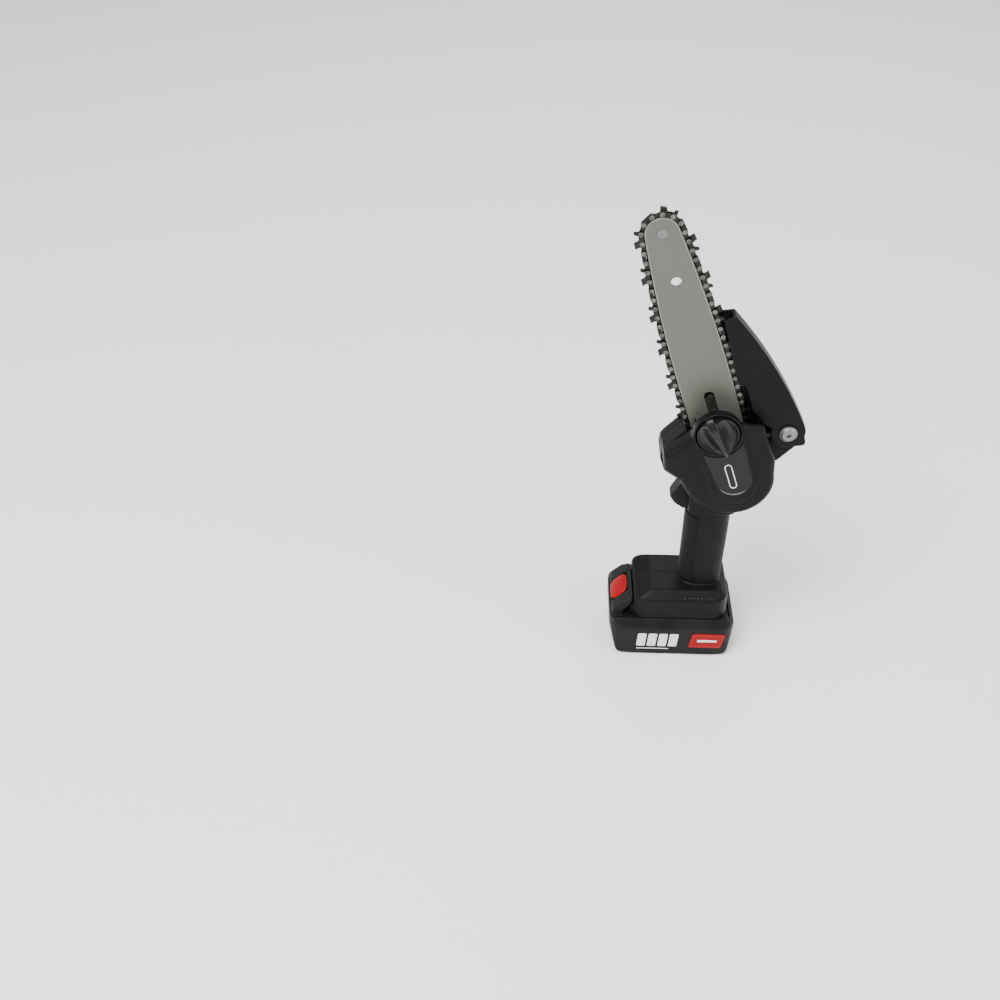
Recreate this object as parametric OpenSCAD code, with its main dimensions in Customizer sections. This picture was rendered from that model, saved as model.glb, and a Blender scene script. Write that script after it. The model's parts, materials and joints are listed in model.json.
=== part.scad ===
// One-hand battery pruning chainsaw: slide-on battery pack, upright grip, round gear head,
// guide bar leaning forward, and a swinging chip guard over the upper run of the chain.
// Axes: -X is the trigger and latch side, -Y is the bar cover side, +Z is up.
// Origin: centre of the battery pack's bottom face. All sizes are in millimetres.

/* [Battery pack] */
// Length of the pack over its rim
pack_l = 114; // [112:0.5:116]
// Width of the pack over its rim
pack_w = 75; // [73:0.5:77]
// Height of the pack's lower tub, up to its rim
tub_h = 38.5; // [38:0.1:39.5]
// Number of cell columns in each layer
cell_columns = 5; // [4:1:5]

/* [Handle] */
// Front-to-back size of the grip
grip_l = 40; // [38:0.5:42]
// Side-to-side size of the grip
grip_w = 33; // [31:0.5:35]
// Height of the foot's top face above the pack's bottom
foot_top = 75; // [74:0.5:76]
// Wall thickness of the moulded shells
wall = 2.6; // [2.2:0.1:3]

/* [Guide bar and chain] */
// Forward lean of the bar from upright, in degrees
bar_lean = 19; // [17:0.5:20]
// Distance from the bar stud to the bar's tip
bar_reach = 191.2; // [188:0.1:194]
// Widest size of the bar
bar_w = 43; // [42:0.5:44]
// Width of the bar's round nose
nose_w = 27.1; // [26.5:0.1:28]
// Number of drive links in the chain loop
chain_links = 35; // [35:1:35]
// Distance from the bar stud back to the drive sprocket's axis
sprocket_back = 54.7; // [54:0.1:55.5]

/* [Drive] */
// Gear module
gear_module = 0.8; // [0.8:0.1:0.8]
// Teeth on the motor pinion
pinion_teeth = 12; // [12:1:12]
// Teeth on the driven gear
gear_teeth = 32; // [32:1:32]

/* [Guard] */
// Outside width of the guard channel, across the chain
guard_w = 13; // [12.5:0.5:14]
// Wall thickness of the guard
guard_wall = 2; // [1.8:0.1:2.2]

/* [Hidden] */

$fn = 48;
slack = 0.3;        // gap between separate pieces
run_fit = 0.05;     // radial gap of a turning fit
through = 1;        // how far a cutter runs past a face

// ---- planes across the tool (values of Y) ----
bar_y = -22;
bar_t = 3.2;
head_y = -17;       // face of the housing behind the bar
cover_y = -44;      // front face of the side cover
lip_y = -30;        // rear edge of the cover where the chain passes
body_y = 10;        // far edge of the flat head body
barrel_y = 50;      // far end of the motor barrel

// ---- bar frame: stud, sprocket and motor axes ----
stud = [15, 270];
function along(u, w = 0) = stud + u * [-sin(bar_lean), cos(bar_lean)] + w * [cos(bar_lean), sin(bar_lean)];
sprocket = along(-sprocket_back);
gear_gap = gear_module * (pinion_teeth + gear_teeth) / 2;
motor = along(gear_gap - sprocket_back);
barrel = along(8 - sprocket_back);
barrel_r = 36;
pivot = [75.5, 260.5];

// ---- chain: rivet line around the bar ----
rivet_up = 2.4;                          // rivet line above the bar's rail
rivet_step = 8.255;                      // nominal distance between rivets
bar_tail = -31;
nose_u = bar_reach - nose_w / 2;
belly_u = 31;
half_w = bar_w / 2;
nose_r = nose_w / 2;
belly_r = (pow(half_w, 2) + pow(nose_u - belly_u, 2) - pow(nose_r, 2)) / (2 * (half_w - nose_r));
belly_c = half_w - belly_r;              // centre of the bar's long edge, sideways
nose_turn = atan2(nose_u - belly_u, -belly_c);
drive_r = rivet_step / (2 * sin(180 / 14));
nose_line_r = nose_r + rivet_up;
belly_line_r = belly_r + rivet_up;
tail_turn = asin((bar_tail - belly_u) / belly_line_r);
tail_point = [belly_c + belly_line_r * cos(tail_turn), bar_tail];
leave = tail_point - [0, -sprocket_back];
leave_len = sqrt(pow(norm(leave), 2) - pow(drive_r, 2));
leave_turn = atan2(leave[1], leave[0]) - acos(drive_r / norm(leave));
seg_nose = nose_line_r * (90 - nose_turn) * PI / 180;
seg_belly = belly_line_r * (nose_turn - tail_turn) * PI / 180;
seg_drive = drive_r * (leave_turn + 90) * PI / 180;
half_loop = seg_nose + seg_belly + leave_len + seg_drive;
step = half_loop / chain_links;

// Point on the rivet line, s along it from the top of the nose down the guard side.
function half_path(s) =
    s < seg_nose ? [0, nose_u] + nose_line_r * turn(90 - s / nose_line_r * 180 / PI)
    : s < seg_nose + seg_belly ? [belly_c, belly_u]
        + belly_line_r * turn(nose_turn - (s - seg_nose) / belly_line_r * 180 / PI)
    : s < seg_nose + seg_belly + leave_len ? tail_point
        + (s - seg_nose - seg_belly) / leave_len * (drive_leave() - tail_point)
    : [0, -sprocket_back]
        + drive_r * turn(leave_turn - (s - seg_nose - seg_belly - leave_len) / drive_r * 180 / PI);
function drive_leave() = [0, -sprocket_back] + drive_r * turn(leave_turn);
function wrap(s) = s - floor(s / (2 * half_loop)) * 2 * half_loop;
function path(s) = let (t = wrap(s)) t <= half_loop ? half_path(t)
    : let (p = half_path(2 * half_loop - t)) [-p[0], p[1]];

// ---- outlines ----
function turn(a) = [cos(a), sin(a)];
function unit(v) = v / norm(v);
// Closed outline with a round at each corner; each corner is [x, y, radius].
function fillet(c, n = 6) = [for (i = [0:len(c) - 1]) let (
    p = [c[i][0], c[i][1]],
    a = c[(i + len(c) - 1) % len(c)], b = c[(i + 1) % len(c)],
    u = unit([a[0], a[1]] - p), v = unit([b[0], b[1]] - p),
    half = acos(u * v) / 2, r = c[i][2],
    o = p + unit(u + v) * r / sin(half),
    s = p + u * r / tan(half) - o, e = p + v * r / tan(half) - o,
    a0 = atan2(s[1], s[0]), d = atan2(s[0] * e[1] - s[1] * e[0], s * e))
    each r == 0 ? [p] : [for (k = [0:n]) o + r * turn(a0 + d * k / n)]];
// Outline around two circles of different size.
function capsule(p, rp, q, rq, n = 16) = let (
    a = atan2(q[1] - p[1], q[0] - p[0]), b = acos((rp - rq) / norm(q - p)))
    concat([for (k = [0:n]) p + rp * turn(a + b + (360 - 2 * b) * k / n)],
        [for (k = [0:n]) q + rq * turn(a - b + 2 * b * k / n)]);
// Oval with flattened sides.
function oval(l, w, n = 48, power = 2.5) = [for (k = [0:n - 1]) let (a = 360 * k / n)
    [sign(cos(a)) * l / 2 * pow(abs(cos(a)), 2 / power), sign(sin(a)) * w / 2 * pow(abs(sin(a)), 2 / power)]];
function box2(l, w, r) = fillet([[-l / 2, -w / 2, r], [l / 2, -w / 2, r], [l / 2, w / 2, r],
    [-l / 2, w / 2, r]]);
// Edge of the bar, drawn in by "inset".
function bar_edge(inset = 0, tail = bar_tail, n = 14) = let (
    r = belly_r - inset, a = asin((tail - belly_u) / r),
    side = [for (k = [0:n]) [belly_c + r * cos(a + (nose_turn - a) * k / n),
        belly_u + r * sin(a + (nose_turn - a) * k / n)]],
    nose = [for (k = [1:n - 1]) [0,
        nose_u] + (nose_r - inset) * turn(nose_turn + (180 - 2 * nose_turn) * k / n)])
    concat(side, nose, [for (k = [n:-1:0]) [-side[k][0], side[k][1]]]);

// ---- placing ----
// Outline in X and Z, thick from y0 to y1.
module slab(y0, y1) { translate([0, y1, 0]) rotate([90, 0, 0]) linear_extrude(y1 - y0) children(); }
// Outline in Y and Z, thick from x0 to x1.
module rib(x0, x1) { translate([x0, 0, 0]) rotate([90, 0, 90]) linear_extrude(x1 - x0) children(); }
// Round bar along Y at p = [x, z].
module pin(p, r, y0, y1) { translate([p[0], y1, p[1]]) rotate([90, 0, 0]) cylinder(r = r, h = y1 - y0); }
module tube(p, r, bore, y0, y1) {
    difference() { pin(p, r, y0, y1); pin(p, bore, y0 - through, y1 + through); }
}
// Children are drawn in the bar's own frame: X across the bar, Z towards its tip.
module on_bar() { translate([stud[0], 0, stud[1]]) rotate([0, -bar_lean, 0]) children(); }
// Compression spring drawn as separate rings of wire along Z.
module coil(r, wire, len, turns) {
    for (k = [0:turns - 1]) translate([0, 0, wire / 2 + (len - wire) * k / (turns - 1)])
        rotate_extrude($fn = 24) translate([r - wire / 2, 0]) circle(d = wire, $fn = 16);
}

// ---- spur gear ----
function inv(a) = tan(a) * 180 / PI - a;
function gear_points(z, shift = 0) = let (rp = gear_module * z / 2, pa = 25, rb = rp * cos(pa),
    ra = rp + gear_module * 0.9, rf = rp - gear_module * 1.2, play = 1.2 / z * 3,
    half = function (r) 90 / z - play + inv(pa) - inv(acos(min(1, rb / r))),
    lo = max(rb, rf), rs = [for (k = [0:4]) lo + (ra - lo) * k / 4])
    [for (t = [0:z - 1]) let (c = 360 / z * (t + shift))
        each concat([rf * turn(c - half(lo))], [for (r = rs) r * turn(c - half(r))],
            [for (k = [4:-1:0]) rs[k] * turn(c + half(rs[k]))], [rf * turn(c + half(lo))])];

// ---- moulded housing ----
grip_x = 23;
grip_top = 168;
foot_bottom = 45.3;
foot_side = fillet([[-48, foot_bottom, 0], [-47, 50, 2], [-39, 60, 4], [-39, 67, 2], [-23, foot_top, 4],
    [41, foot_top, 6], [48.5, 69, 5], [48, foot_bottom, 0]]);
foot_end = fillet([[-32, foot_bottom, 0], [-32.3, 67.5, 1], [-27.2, 72.5, 2], [-24.5, foot_top, 2],
    [24.5, foot_top, 2], [27.2, 72.5, 2], [32.3, 67.5, 1], [32, foot_bottom, 0]]);
head_side = fillet([[-10, 250, 3], [-26, 232, 5], [-27, 223, 4], [-22.5, 209.5, 4], [-7.5, 198.5, 3],
    [2.5, 186, 3],
    [3, 162, 3], [42, 161, 3], [60, 184, 10], [67, 217, 20], [63, 240, 6], [54, 262, 6], [46, 272, 4],
        [8, 268, 6]]);
tongue_l = 36;            // height of the bar's backing tongue above the stud
tongue_w = 34;
foot_screws = [[-29, 62], [42, 62]];
grip_screws = [[23, 86], [23, 150]];
head_screws = [[-18, 226], [0, 250], [54, 252], [52, 190]];
shell_screws = concat(foot_screws, grip_screws, head_screws);
screw_seat = [29, 29, 14, 14, 13, 13, 13, 13];    // Y of the face under each screw's head
plate_screws = [for (a = [60, 150, 240, 330]) barrel + 28.6 * turn(a)];
screw_r = 1.5;
tower_w = 42;             // width of the pack's tower below its rails
rail_out = 3;             // how far each rail stands out
rail_z = 51;              // underside of the rails
tower_top = 57;
tower_back = 40;
nose_x = -39.8;           // where the pack's tower meets its nose
tension_w = 13;           // tension screw's place across the bar
tension_y = -11.5;
tension_u = -12;          // tension block's centre along the bar
lock_at = [8.5, 204];
lock_r = 5;
trigger_half = 7;
trigger_z = [159.5, 192.5];
gear_plate_y = [0.4, 6.4];

module half_space(side) { translate([-150, side < 0 ? -150 : 0, 0]) cube([400, 150, 500]); }
module foot_block(inset = 0) {
    intersection() {
        slab(-40, 40) offset(delta = -inset) polygon(foot_side);
        rib(-60, 60) offset(delta = -inset) polygon(foot_end);
        translate([0, 0, 40]) linear_extrude(40) offset(delta = -inset)
            polygon(fillet([[-48.3, -32.3, 22], [48.7, -32.3, 14], [48.7, 32.3, 14], [-48.3, 32.3, 22]]));
    }
}
module grip_block(inset = 0) {
    intersection() {
        translate([grip_x, 0, 70]) linear_extrude(grip_top - 70)
            polygon(oval(grip_l - 2 * inset, grip_w - 2 * inset));
        slab(-30, 30) polygon([[-10, 60], [grip_x + grip_l / 2 - 3 - inset, 60],
            [grip_x + grip_l / 2 - inset, 160], [grip_x + grip_l / 2 - inset, 180], [-10, 180]]);
    }
}
module head_block(inset = 0) {
    slab(head_y + inset, body_y) offset(delta = -inset) polygon(head_side);
    slab(body_y - through, 16 - inset) offset(delta = -3 - inset) polygon(head_side);
}
module barrel_block(inset = 0) {
    pin(barrel, barrel_r - inset, head_y + inset, barrel_y - 6);
    translate([barrel[0], barrel_y - 6, barrel[1]]) rotate([-90, 0, 0])
        cylinder(r1 = barrel_r - inset, r2 = barrel_r - 5 - inset, h = 6 - inset);
}
module tongue_block() {
    on_bar() slab(head_y - 0.01, -5) polygon(fillet([[-tongue_w / 2, -30, 0], [tongue_w / 2, -30, 0],
        [tongue_w / 2, tongue_l, 8], [-tongue_w / 2, tongue_l, 8]]));
}
module housing_form() { foot_block(); grip_block(); head_block(); barrel_block(); }
module housing_hollow() { foot_block(wall); grip_block(wall); head_block(wall); barrel_block(wall); }
// Space in the foot for the pack's tower and rails, open at the front and below.
module rail_space() {
    translate([-70, -tower_w / 2 - slack, 40]) cube([70 + tower_back + 1.5, tower_w + 2 * slack,
        rail_z - 40]);
    translate([-70, -tower_w / 2 - rail_out - slack, rail_z - slack])
        cube([70 + tower_back + 1.5, tower_w + 2 * (rail_out + slack), tower_top - rail_z + 2 * slack]);
}
module rail_ledges() {
    for (s = [-1, 1]) translate([-47, s * (tower_w / 2 + 5) - 5, foot_bottom + 0.3]) cube([90, 10,
        rail_z - 46.2]);
    translate([tower_back + 1.5, -30, foot_bottom + 0.3]) cube([3, 60, 14]);
}
module shell_posts(y0, y1) {
    for (p = shell_screws) pin(p, 3.4, y0, y1);
}
module shell_cuts() {
    rail_space();
    translate([-30, -trigger_half - slack, trigger_z[0] - slack])
        cube([38, 2 * (trigger_half + slack), trigger_z[1] - trigger_z[0] + 2 * slack]);
    for (p = shell_screws) pin(p, screw_r + run_fit, -12, 60);
    pin(lock_at, lock_r + slack, 6, 60);
}
module guard_lug() {
    difference() {
        union() {
            slab(bar_y, bar_y + 4) polygon(fillet([[62, 243, 0], [67.5, 229, 0], [71, 225.5, 1.5],
                [91, 249, 4],
                [86, 262, 6], [75.5, 272, 7], [64, 262, 7]]));
            slab(bar_y, -6) polygon([[60, 241], [66.5, 225.5], [71, 226.5], [76, 233], [66, 243.5]]);
            slab(-14.2, -6) polygon([[54, 246], [62, 216], [70, 226], [68, 244]]);
        }
        pin(pivot, 3 + run_fit, -60, 0);
        difference() {
            pin(pivot, 18, bar_y + 4, -14.5);
            pin(pivot, 3, -30, 0);
        }
        slab(bar_y - 1, bar_y + 4.1) polygon(concat([for (a = [-62:4.1:20]) pivot + 11.8 * turn(a)],
            [pivot + 32 * turn(20), pivot + 32 * turn(-62)]));
    }
}
module housing_near() {
    color([0.11, 0.11, 0.12]) difference() {
        union() {
            intersection() {
                union() {
                    difference() { housing_form(); housing_hollow(); }
                    intersection() {
                        housing_form();
                        union() {
                            rail_ledges();
                            shell_posts(-15, 0);
                            translate([foot_screws[0][0] - 1, -15, foot_screws[0][1]]) cube([2, 15, 14]);
                            for (p = plate_screws) pin(p, 3.4, -15, 0);
                        }
                    }
                }
                half_space(-1);
            }
            tongue_block();
            guard_lug();
            pin(sprocket, 10.5, head_y + 0.5, -8.5);
        }
        shell_cuts();
        pin(sprocket, 6.5, -20, 0);
        pin(sprocket, 8 + run_fit, -14.5, 0);
        pin(stud, 4.05, -20, 0);
        pin(stud, 6.6, -9, 0, $fn = 6);
        for (p = plate_screws) pin(p, screw_r + run_fit, -12, 5);
        on_bar() {
            translate([tension_w - 4.2, -15.5, tension_u - 8]) cube([8.4, 20, 13]);
            translate([tension_w - 2.8, -20, tension_u - 7]) cube([5.6, 10, 11]);
            translate([tension_w, tension_y, tension_u]) cylinder(r = 2.1, h = 80);
            translate([tension_w, tension_y, tongue_l - 8]) cylinder(r = 3.6, h = 20);
        }
    }
}
module housing_far() {
    color([0.11, 0.11, 0.12]) difference() {
        intersection() {
            union() {
                difference() { housing_form(); housing_hollow(); }
                intersection() { housing_form(); union() { rail_ledges(); shell_posts(0, 46); } }
            }
            half_space(1);
        }
        shell_cuts();
        pin(barrel, barrel_r - wall, -1, 30);
        for (k = [-3:3]) let (h = 24 - 3 * abs(k))
            translate([barrel[0] + 7 * k - 1.6, barrel_y - 10, barrel[1] - h]) cube([3.2, 20, 2 * h]);
        for (k = [0:len(shell_screws) - 1]) pin(shell_screws[k], 3, screw_seat[k], 60);
    }
}
module housing_screws() {
    color("silver") for (k = [0:len(shell_screws) - 1]) let (p = shell_screws[k], y = screw_seat[k]) {
        pin(p, screw_r, -10, y);
        difference() {
            pin(p, 2.8, y, y + 2.1);
            pin(p, 1.2, y + 0.8, y + 4, $fn = 6);
        }
    }
}
// Rubber pad let over the front half of the grip.
module grip_overmold() {
    color([0.07, 0.07, 0.07]) difference() {
        translate([grip_x, 0, 79]) linear_extrude(76) polygon(oval(grip_l + 1.4, grip_w + 1.4));
        translate([grip_x, 0, 70]) linear_extrude(100) polygon(oval(grip_l + 0.02, grip_w + 0.02));
        translate([13, -30, 70]) cube([60, 60, 100]);
    }
}

// ---- side cover ----
knob_r = 17.6;
cup_r = 19.9;               // outside of the cup the knob sits in
pocket_r = 18.4;
pocket_y = -39.6;         // floor of that cup
wall_y = -38;             // rear edge of the cover's low wall beside the knob
tongue_end = [33, 218];
cover_open = 12;          // chain opening reaches this far below the stud
cover_step = 0.7;         // the rounded front edge, in steps back from the face
cover_round = [3.2, 2, 1.2, 0.6, 0.2, 0];
module cover_outline() {
    polygon(fillet([[-27, 244, 2], [-25.5, 229, 4], [-12, 219, 6], [-3, 203, 10], [9, 190, 12], [57, 196, 10],
        [67.5, 219, 12], [66, 240, 8], [57, 262, 8], [52.5, 276.3, 3], [39.5, 276.3, 2], [36, 278, 3],
        [5, 278, 4], [-2, 273, 4], [-6, 262, 5]]));
    translate(sprocket) circle(35, $fn = 96);
    translate(stud) circle(cup_r - 0.5, $fn = 72);
}
// Round about the stud whose radius changes from r0 at y0 to r1 at y1.
module cone(p, r0, r1, y0, y1) {
    translate([p[0], y1, p[1]]) rotate([90, 0, 0]) cylinder(r1 = r1, r2 = r0, h = y1 - y0);
}
module side_cover() {
    color([0.10, 0.10, 0.11]) difference() {
        union() {
            difference() {
                for (k = [0:len(cover_round) - 1]) slab(cover_y + cover_step * k, head_y - 0.2)
                    offset(delta = -cover_round[k]) cover_outline();
                slab(cover_y + 2.4, head_y + 1) offset(delta = -2.4) cover_outline();
                on_bar() translate([-15, wall_y, -2]) cube([70, 40, 60]);
                on_bar() translate([22, wall_y, -14]) cube([40, 40, 40]);
                pin(pivot, 25, guard_y0 - 0.4, head_y + 2);
            }
            slab(cover_y - 2.4, cover_y + 1) polygon(capsule(stud, cup_r + 0.4, tongue_end, 20.5));
            pin(stud, cup_r, cover_y, pocket_y - 1.8);
            cone(stud, cup_r, cup_r - 1.8, pocket_y - 1.8, pocket_y + 1.4);
            pin(stud, 12, pocket_y, -24.9);
        }
        pin(stud, pocket_r, cover_y - 10, pocket_y - 1.6);
        cone(stud, pocket_r, pocket_r - 1.5, pocket_y - 1.6, pocket_y);
        pin(stud, 4.3, -60, 0);
        on_bar() translate([-47.5, lip_y, -cover_open]) cube([77.5, 20, 80]);
        slab(bar_y - 1, head_y + 2) polygon([[55, 270], [59, 246], [59, 236], [64, 222], [80, 214],
            [80, 270]]);
    }
}
module cover_badge() {
    color([0.22, 0.21, 0.19]) difference() {
        slab(cover_y - 3, cover_y - 2.4) polygon(capsule(stud, 18, [33.5, 223], 15));
        pin(stud, 22.6, -60, -30);
    }
}

// ---- wing knob ----
fin_turn = 28;            // lean of the knob's fin from upright
module wing_knob() {
    color([0.12, 0.12, 0.12]) translate([stud[0], -39.9, stud[1]]) rotate([90, 0, 0]) difference() {
        union() {
            rotate_extrude($fn = 72) polygon([[0, 0], [knob_r - 2, 0], [knob_r, 1.6], [knob_r, 5],
                [knob_r - 2, 8],
                [knob_r - 6, 9.5], [0, 10]]);
            rotate([0, 0, 90 + fin_turn]) translate([0, 3, 0]) rotate([90, 0, 0]) linear_extrude(6)
                polygon(fillet([[-knob_r, 3, 0], [knob_r, 3, 0], [knob_r, 7.2, 0], [21, 9.8, 1.5],
                    [21, 13, 2.5],
                    [11, 18, 8], [-12, 18, 8], [-21.5, 14, 4], [-21.5, 9.8, 1.5], [-knob_r, 7.2, 0]]));
        }
        translate([0, 0, -through]) cylinder(r = 7.6, h = 7.6 + through, $fn = 6);
        translate([0, 0, -through]) cylinder(r = 4.3, h = 12);
    }
}
module knob_nut() {
    color("goldenrod") translate([stud[0], -39.9, stud[1]]) rotate([90, 0, 0]) difference() {
        cylinder(r = 7.5, h = 6.5, $fn = 6);
        translate([0, 0, -through]) cylinder(r = 4 + run_fit, h = 20);
    }
}
module bar_stud() {
    color("silver") { pin(stud, 4, -49, -9); pin(stud, 6.5, -9, -6.5, $fn = 6); }
}

// ---- bar and its fittings ----
module bar_pad() {
    color([0.3, 0.3, 0.3]) on_bar() difference() {
        union() {
            slab(head_y - 1.75, head_y - 0.02) polygon(fillet([[-14, -24, 4], [16.6, -24, 4],
                [16.6, 30, 4], [-14, 30, 4]]));
            slab(bar_y - bar_t / 2 + 0.4, head_y - 1) polygon(capsule([0, 8.5], 3.8, [0, 20.6], 3.8));
        }
        pin([0, 0], 4.05, -40, 0);
        slab(-40, 0) polygon(capsule([tension_w, tension_u - 4.5], 2.7, [tension_w, tension_u + 1.5], 2.7));
    }
}
module guide_bar() {
    color([0.52, 0.53, 0.48]) on_bar() difference() {
        slab(bar_y - bar_t / 2, bar_y + bar_t / 2) polygon(bar_edge());
        difference() {
            slab(bar_y - 0.75, bar_y + 0.75) polygon(bar_edge(-1, bar_tail - 1));
            slab(bar_y - 1, bar_y + 1) polygon(bar_edge(6.4, bar_tail - 2));
        }
        pin([0, nose_u], nose_r - 0.6, bar_y - 0.75, bar_y + 0.75);
        pin([0, nose_u], 4 + run_fit, bar_y - 5, bar_y + 5);
        slab(bar_y - 5, bar_y + 5) polygon(capsule([0, -9], 4.15, [0, 24], 4.15));
        pin([0, 134.8], 4.2, bar_y - 5, bar_y + 5);
        pin([tension_w, tension_u], 2.5, bar_y - 5, bar_y + 5);
        pin([-tension_w, tension_u], 2.5, bar_y - 5, bar_y + 5);
    }
}
module nose_rivet() {
    color("silver") on_bar() pin([0, nose_u], 4, bar_y - bar_t / 2 - 0.15, bar_y + bar_t / 2 + 0.15);
}
// Toothed wheel whose teeth stand between the drive links' tangs.
module chain_wheel(teeth, root_r, tip_r, root_half, tip_half, y0, y1, first) {
    slab(y0, y1) polygon([for (k = [0:teeth - 1]) let (a = first + 360 / teeth * k, t = turn(a),
        n = [-t[1], t[0]])
        each [root_r * t - root_half * n, tip_r * t - tip_half * n, tip_r * t + tip_half * n,
            root_r * t + root_half * n]]);
}
module nose_sprocket() {
    color("silver") on_bar() translate([0, 0, nose_u]) difference() {
        chain_wheel(6, 9.2, 12.1, 3, 1.7, bar_y - 0.6, bar_y + 0.6, 60);
        pin([0, 0], 4 + run_fit, -40, 0);
    }
}
module drive_sprocket() {
    color([0.35, 0.35, 0.36]) on_bar() translate([0, 0, -sprocket_back]) difference() {
        union() {
            chain_wheel(7, 11.4, 15.2, 3.4, 2.3, bar_y - 3.5, bar_y + 3.5, -90);
            pin([0, 0], 9.5, bar_y - 4.2, bar_y + 4.6);
        }
        pin([0, 0], 4.02, -40, 0);
    }
}
module tension_screw() {
    color("silver") on_bar() translate([tension_w, tension_y, 0]) difference() {
        union() {
            translate([0, 0, tension_u - 7]) cylinder(r = 2, h = tongue_l - 8 - tension_u + 7.1);
            translate([0, 0, tongue_l - 7.9]) cylinder(r = 3.4, h = 3);
        }
        translate([-0.5, -5, tongue_l - 6.2]) cube([1, 10, 5]);
    }
}
module tension_block() {
    color([0.6, 0.6, 0.6]) on_bar() difference() {
        union() {
            translate([tension_w - 3.9, -15.2, tension_u - 4]) cube([7.8, 7.6, 8]);
            pin([tension_w, tension_u], 2.4, bar_y - bar_t / 2, -15);
        }
        translate([tension_w, tension_y, tension_u - 10]) cylinder(r = 2 + run_fit, h = 20);
    }
}

// ---- saw chain ----
link_half = 0.6;
plate_in = 0.65;
plate_out = 1.75;
strap_half = 2.25;
// Cutters stand on every second link, counted from the nose down both runs.
function is_cutter(k) = k < chain_links / 2 ? k % 2 == 0 : (chain_links - k) % 2 == 0;
function cutter_side(k) = (k < chain_links / 2 ? k : chain_links - k + 2) % 4 == 0 ? -1 : 1;
// Children are laid on the rivet line, with X along the chain and Z away from the bar.
module on_chain(s) {
    a = path(s - step / 2);
    b = path(s + step / 2);
    on_bar() translate([(a[0] + b[0]) / 2, bar_y, (a[1] + b[1]) / 2]) rotate([0, -atan2(b[1] - a[1],
        b[0] - a[0]), 0]) children();
}
module side_plate(side, pts) {
    y = side < 0 ? -plate_out : plate_in;
    difference() {
        slab(y, y + plate_out - plate_in) polygon(pts);
        for (e = [-1, 1]) pin([e * step / 2, 0], 1.72, -5, 5);
    }
}
function strap_points() = concat([for (a = [-150:20:90]) [step / 2, 0] + strap_half * turn(a)],
    [for (a = [90:20:330]) [-step / 2, 0] + strap_half * turn(a)]);
module chain_drive_links() {
    color([0.25, 0.25, 0.26]) for (k = [0:chain_links - 1]) on_chain(2 * step * k) difference() {
        slab(-link_half, link_half) polygon(fillet([[-step / 2 - 2.1, 1.2, 0], [-step / 2 - 2.2, -1.4, 1],
            [-3.2, -2.2, 0.5],
            [-0.9, -5.9, 0.8], [1.6, -5.9, 0.8], [3.2, -2.2, 0.5], [step / 2 + 2.2, -1.4, 1],
                [step / 2 + 2.1, 1.2, 0],
            [step / 2, 2.2, 1], [0, 1.4, 3], [-step / 2, 2.2, 1]], 3));
        for (e = [-1, 1]) pin([e * step / 2, 0], 1.72, -5, 5);
    }
}
module chain_tie_straps() {
    color([0.3, 0.3, 0.3]) for (k = [0:chain_links - 1], side = [-1, 1])
        if (!is_cutter(k) || side == -cutter_side(k)) on_chain(2 * step * k + step) side_plate(side,
            strap_points());
}
module cutter(side) {
    side_plate(side, fillet([[-step / 2 - 2.1, -strap_half, 1.2], [-3.5, -2.1, 0.3], [-2.2, -1.5, 0.3],
        [2.2, -1.5, 0.3], [3.5, -2.1, 0.3], [step / 2 + 2.1, -strap_half, 1.2],
        [step / 2 + 2.6, 2.4, 1], [step / 2 + 3.2, 5.2, 0.8], [step / 2 + 0.6, 5.3, 0.8], [2.6, 1.4, 0.8],
        [-0.4, 1.6, 0.5], [-2.2, 6.2, 0], [-step / 2 - 3.4, 5.7, 0.5], [-step / 2 - 2.6, 2.4, 0.8]], 3));
    outer = side * plate_out;
    translate([-step / 2 - 3.1, min(outer, -side * 0.6), 5.1])
        cube([step / 2 + 0.6, abs(outer + side * 0.6), 0.8]);
}
module chain_cutters() {
    color([0.3, 0.3, 0.3]) for (k = [0:chain_links - 1])
        if (is_cutter(k)) on_chain(2 * step * k + step) cutter(cutter_side(k));
}
module chain_rivets() {
    color("silver") on_bar() for (k = [0:2 * chain_links - 1]) let (p = path(step * (k + 0.5))) {
        pin(p, 1.5, bar_y - plate_out, bar_y + plate_out);
        for (y = [-plate_out - 0.4, plate_out]) pin(p, 2, bar_y + y, bar_y + y + 0.4);
    }
}

// ---- drive train ----
module sprocket_shaft() {
    color("silver") difference() {
        union() { pin(sprocket, 4, -29.5, 5.6); pin(sprocket, 5.4, -9.3, -8.6); }
        tube(sprocket, 6, 3.4, -28.2, -27.3);
    }
}
module shaft_circlip() { color([0.2, 0.2, 0.2]) tube(sprocket, 5.6, 3.45, -28.1, -27.4); }
module ball_bearing(y0) {
    tube(sprocket, 8, 6.8, y0, y0 + 5);
    tube(sprocket, 5.2, 4 + run_fit, y0, y0 + 5);
    for (k = [0:7]) let (c = sprocket + 6 * turn(45 * k)) translate([c[0],
        y0 + 2.5, c[1]]) sphere(r = 0.75, $fn = 20);
}
module bearing_near() { color("silver") ball_bearing(-14.4); }
module bearing_far() { color("silver") ball_bearing(0.6); }
module drive_gear() {
    color([0.45, 0.45, 0.46]) difference() {
        slab(-8.5, -0.6) translate(sprocket) rotate(bar_lean) polygon(gear_points(gear_teeth, 0.5));
        pin(sprocket, 4.02, -20, 10);
        for (k = [0:4]) pin(sprocket + 8.3 * turn(72 * k), 2, -20, 10);
    }
}
module motor_pinion() {
    color([0.5, 0.5, 0.5]) difference() {
        slab(-8.8, -1) translate(motor) rotate(bar_lean) polygon(gear_points(pinion_teeth, 0));
        pin(motor, 1.62, -20, 10);
    }
}
motor_y = [6.6, 38];
module motor_rotor() {
    color([0.55, 0.35, 0.2]) {
        pin(motor, 1.6, -9.5, 45.5);
        tube(motor, 11.5, 1.55, 12, 30);
        tube(motor, 5, 1.55, 30.5, 34);
    }
}
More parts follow.
